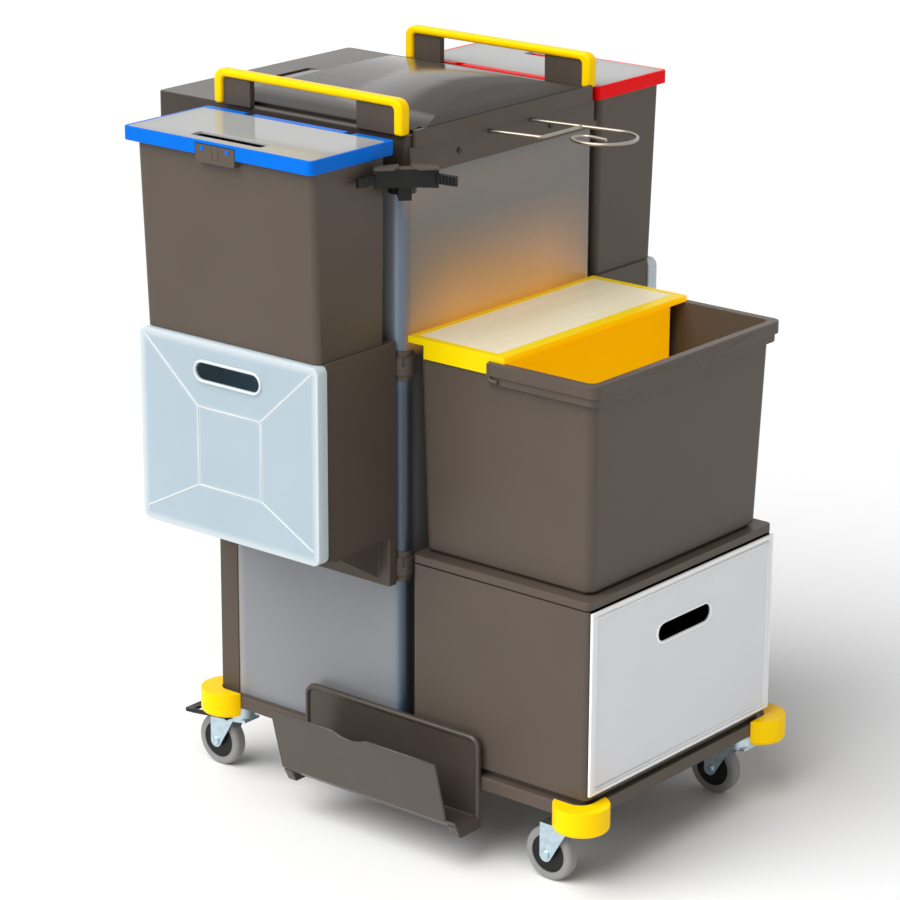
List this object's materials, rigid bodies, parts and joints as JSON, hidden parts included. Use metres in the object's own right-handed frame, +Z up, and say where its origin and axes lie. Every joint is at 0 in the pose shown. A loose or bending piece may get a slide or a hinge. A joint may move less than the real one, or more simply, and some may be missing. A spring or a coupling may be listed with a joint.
{
  "type": "janitor cart",
  "caption": "Cleaning cart on swivel casters: lidded waste tower with handles, drawer cabinet with bucket and tool tray, side drawers and lidded side buckets.",
  "frame": {"origin": "on the floor, below the middle of the cart's bounding box", "axes": "+X to the front (the drawer cabinet's face), +Y to the cart's left, +Z up"},
  "size_m": [0.827, 0.792, 1.074],
  "materials": {
    "dark_plastic": "grained, matt",
    "black_plastic": "matt",
    "yellow_plastic": "smooth, half gloss",
    "blue_plastic": "smooth, half gloss",
    "red_plastic": "smooth, half gloss",
    "frosted_sheet": "frosted, half clear",
    "pale_plastic": "smooth, milky",
    "white_plastic": "smooth, milky",
    "cream_plastic": "smooth, matt",
    "silver_sheet": "smooth, matt, silver grey",
    "zinc_steel": "zinc plated",
    "tyre_rubber": "matt"
  },
  "bodies": {
    "cart": {"base_platform": "dark_plastic", "rear_posts": "dark_plastic", "tower_cap": "dark_plastic", "top_frame": "dark_plastic", "apron": "dark_plastic", "handle_webs": "dark_plastic", "support_rail_right": "dark_plastic", "support_rail_left": "dark_plastic", "side_housing_right": "dark_plastic", "side_housing_left": "dark_plastic", "cabinet_shell": "dark_plastic", "cabinet_top": "dark_plastic", "dustpan_pocket": "dark_plastic", "bumper_front_right": "yellow_plastic", "bumper_front_left": "yellow_plastic", "bumper_rear_right": "yellow_plastic", "bumper_rear_left": "yellow_plastic", "handle_right": "yellow_plastic", "handle_left": "yellow_plastic", "ring_clips": "dark_plastic", "tool_clamp": "black_plastic", "wrap_panel": "frosted_sheet", "rear_panel": "frosted_sheet", "caster_plates": "zinc_steel", "corner_tubes": "zinc_steel", "lid_pin": "zinc_steel", "wire_hook": "zinc_steel", "screws": "zinc_steel"},
    "caster_front_right": {"fork_front_right": "zinc_steel", "axle_front_right": "zinc_steel"},
    "wheel_front_right": {"hub_front_right": "black_plastic", "tyre_front_right": "tyre_rubber"},
    "caster_front_left": {"fork_front_left": "zinc_steel", "axle_front_left": "zinc_steel"},
    "wheel_front_left": {"hub_front_left": "black_plastic", "tyre_front_left": "tyre_rubber"},
    "caster_rear_right": {"fork_rear_right": "zinc_steel", "axle_rear_right": "zinc_steel"},
    "wheel_rear_right": {"hub_rear_right": "black_plastic", "tyre_rear_right": "tyre_rubber"},
    "caster_rear_left": {"fork_rear_left": "zinc_steel", "axle_rear_left": "zinc_steel"},
    "wheel_rear_left": {"hub_rear_left": "black_plastic", "tyre_rear_left": "tyre_rubber"},
    "pedal_right": {"brake_pedal_right": "black_plastic"},
    "pedal_left": {"brake_pedal_left": "black_plastic"},
    "tower_lid": {"tower_lid": "dark_plastic"},
    "bucket_right": {"side_bucket_right": "dark_plastic"},
    "bucket_lid_right": {"bucket_lid_right": "blue_plastic", "lid_panel_right": "white_plastic"},
    "drawer_right": {"side_drawer_right": "pale_plastic"},
    "bucket_left": {"side_bucket_left": "dark_plastic"},
    "bucket_lid_left": {"bucket_lid_left": "red_plastic", "lid_panel_left": "white_plastic"},
    "drawer_left": {"side_drawer_left": "pale_plastic"},
    "front_drawer": {"drawer_box": "dark_plastic", "drawer_panel": "silver_sheet"},
    "front_bucket": {"front_bucket": "dark_plastic"},
    "tray": {"tray": "yellow_plastic"},
    "tray_lid": {"tray_lid": "cream_plastic"}
  },
  "joints": [
    {"name": "swivel_front_right", "type": "hinge", "parent": "cart", "child": "caster_front_right", "pos_m": [0.3535, -0.197, 0.113], "axis": [0, 0, 1], "continuous": true},
    {"name": "roll_front_right", "type": "hinge", "parent": "caster_front_right", "child": "wheel_front_right", "pos_m": [0.3115, -0.197, 0.04], "axis": [0, 1, 0], "continuous": true},
    {"name": "swivel_front_left", "type": "hinge", "parent": "cart", "child": "caster_front_left", "pos_m": [0.3535, 0.197, 0.113], "axis": [0, 0, 1], "continuous": true},
    {"name": "roll_front_left", "type": "hinge", "parent": "caster_front_left", "child": "wheel_front_left", "pos_m": [0.3115, 0.197, 0.04], "axis": [0, 1, 0], "continuous": true},
    {"name": "swivel_rear_right", "type": "hinge", "parent": "cart", "child": "caster_rear_right", "pos_m": [-0.2775, -0.197, 0.113], "axis": [0, 0, 1], "continuous": true},
    {"name": "roll_rear_right", "type": "hinge", "parent": "caster_rear_right", "child": "wheel_rear_right", "pos_m": [-0.3195, -0.197, 0.04], "axis": [0, 1, 0], "continuous": true},
    {"name": "swivel_rear_left", "type": "hinge", "parent": "cart", "child": "caster_rear_left", "pos_m": [-0.2775, 0.197, 0.113], "axis": [0, 0, 1], "continuous": true},
    {"name": "roll_rear_left", "type": "hinge", "parent": "caster_rear_left", "child": "wheel_rear_left", "pos_m": [-0.3195, 0.197, 0.04], "axis": [0, 1, 0], "continuous": true},
    {"name": "brake_right", "type": "hinge", "parent": "caster_rear_right", "child": "pedal_right", "pos_m": [-0.2915, -0.197, 0.086], "axis": [0, -1, 0], "range_deg": [0, 12]},
    {"name": "brake_left", "type": "hinge", "parent": "caster_rear_left", "child": "pedal_left", "pos_m": [-0.2915, 0.197, 0.086], "axis": [0, -1, 0], "range_deg": [0, 12]},
    {"name": "tower_lid_hinge", "type": "hinge", "parent": "cart", "child": "tower_lid", "pos_m": [-0.3445, 0, 1.015], "axis": [0, -1, 0], "range_deg": [0, 75]},
    {"name": "bucket_lift_right", "type": "slide", "parent": "cart", "child": "bucket_right", "axis": [0, 0, 1], "range_m": [0, 0.15]},
    {"name": "bucket_lid_hinge_right", "type": "hinge", "parent": "bucket_right", "child": "bucket_lid_right", "pos_m": [-0.124, -0.23, 1.01], "axis": [-1, 0, 0], "range_deg": [0, 75]},
    {"name": "drawer_slide_right", "type": "slide", "parent": "cart", "child": "drawer_right", "axis": [0, -1, 0], "range_m": [0, 0.12]},
    {"name": "bucket_lift_left", "type": "slide", "parent": "cart", "child": "bucket_left", "axis": [0, 0, 1], "range_m": [0, 0.15]},
    {"name": "bucket_lid_hinge_left", "type": "hinge", "parent": "bucket_left", "child": "bucket_lid_left", "pos_m": [-0.124, 0.23, 1.01], "axis": [1, 0, 0], "range_deg": [0, 75]},
    {"name": "drawer_slide_left", "type": "slide", "parent": "cart", "child": "drawer_left", "axis": [0, 1, 0], "range_m": [0, 0.12]},
    {"name": "front_drawer_slide", "type": "slide", "parent": "cart", "child": "front_drawer", "axis": [1, 0, 0], "range_m": [0, 0.25]},
    {"name": "front_bucket_slide", "type": "slide", "parent": "cart", "child": "front_bucket", "axis": [1, 0, 0], "range_m": [0, 0.28]},
    {"name": "tray_lift", "type": "slide", "parent": "front_bucket", "child": "tray", "axis": [0, 0, 1], "range_m": [0, 0.09]},
    {"name": "tray_lid_hinge", "type": "hinge", "parent": "tray", "child": "tray_lid", "pos_m": [0.0735, 0, 0.7435], "axis": [0, -1, 0], "range_deg": [0, 90]}
  ]
}
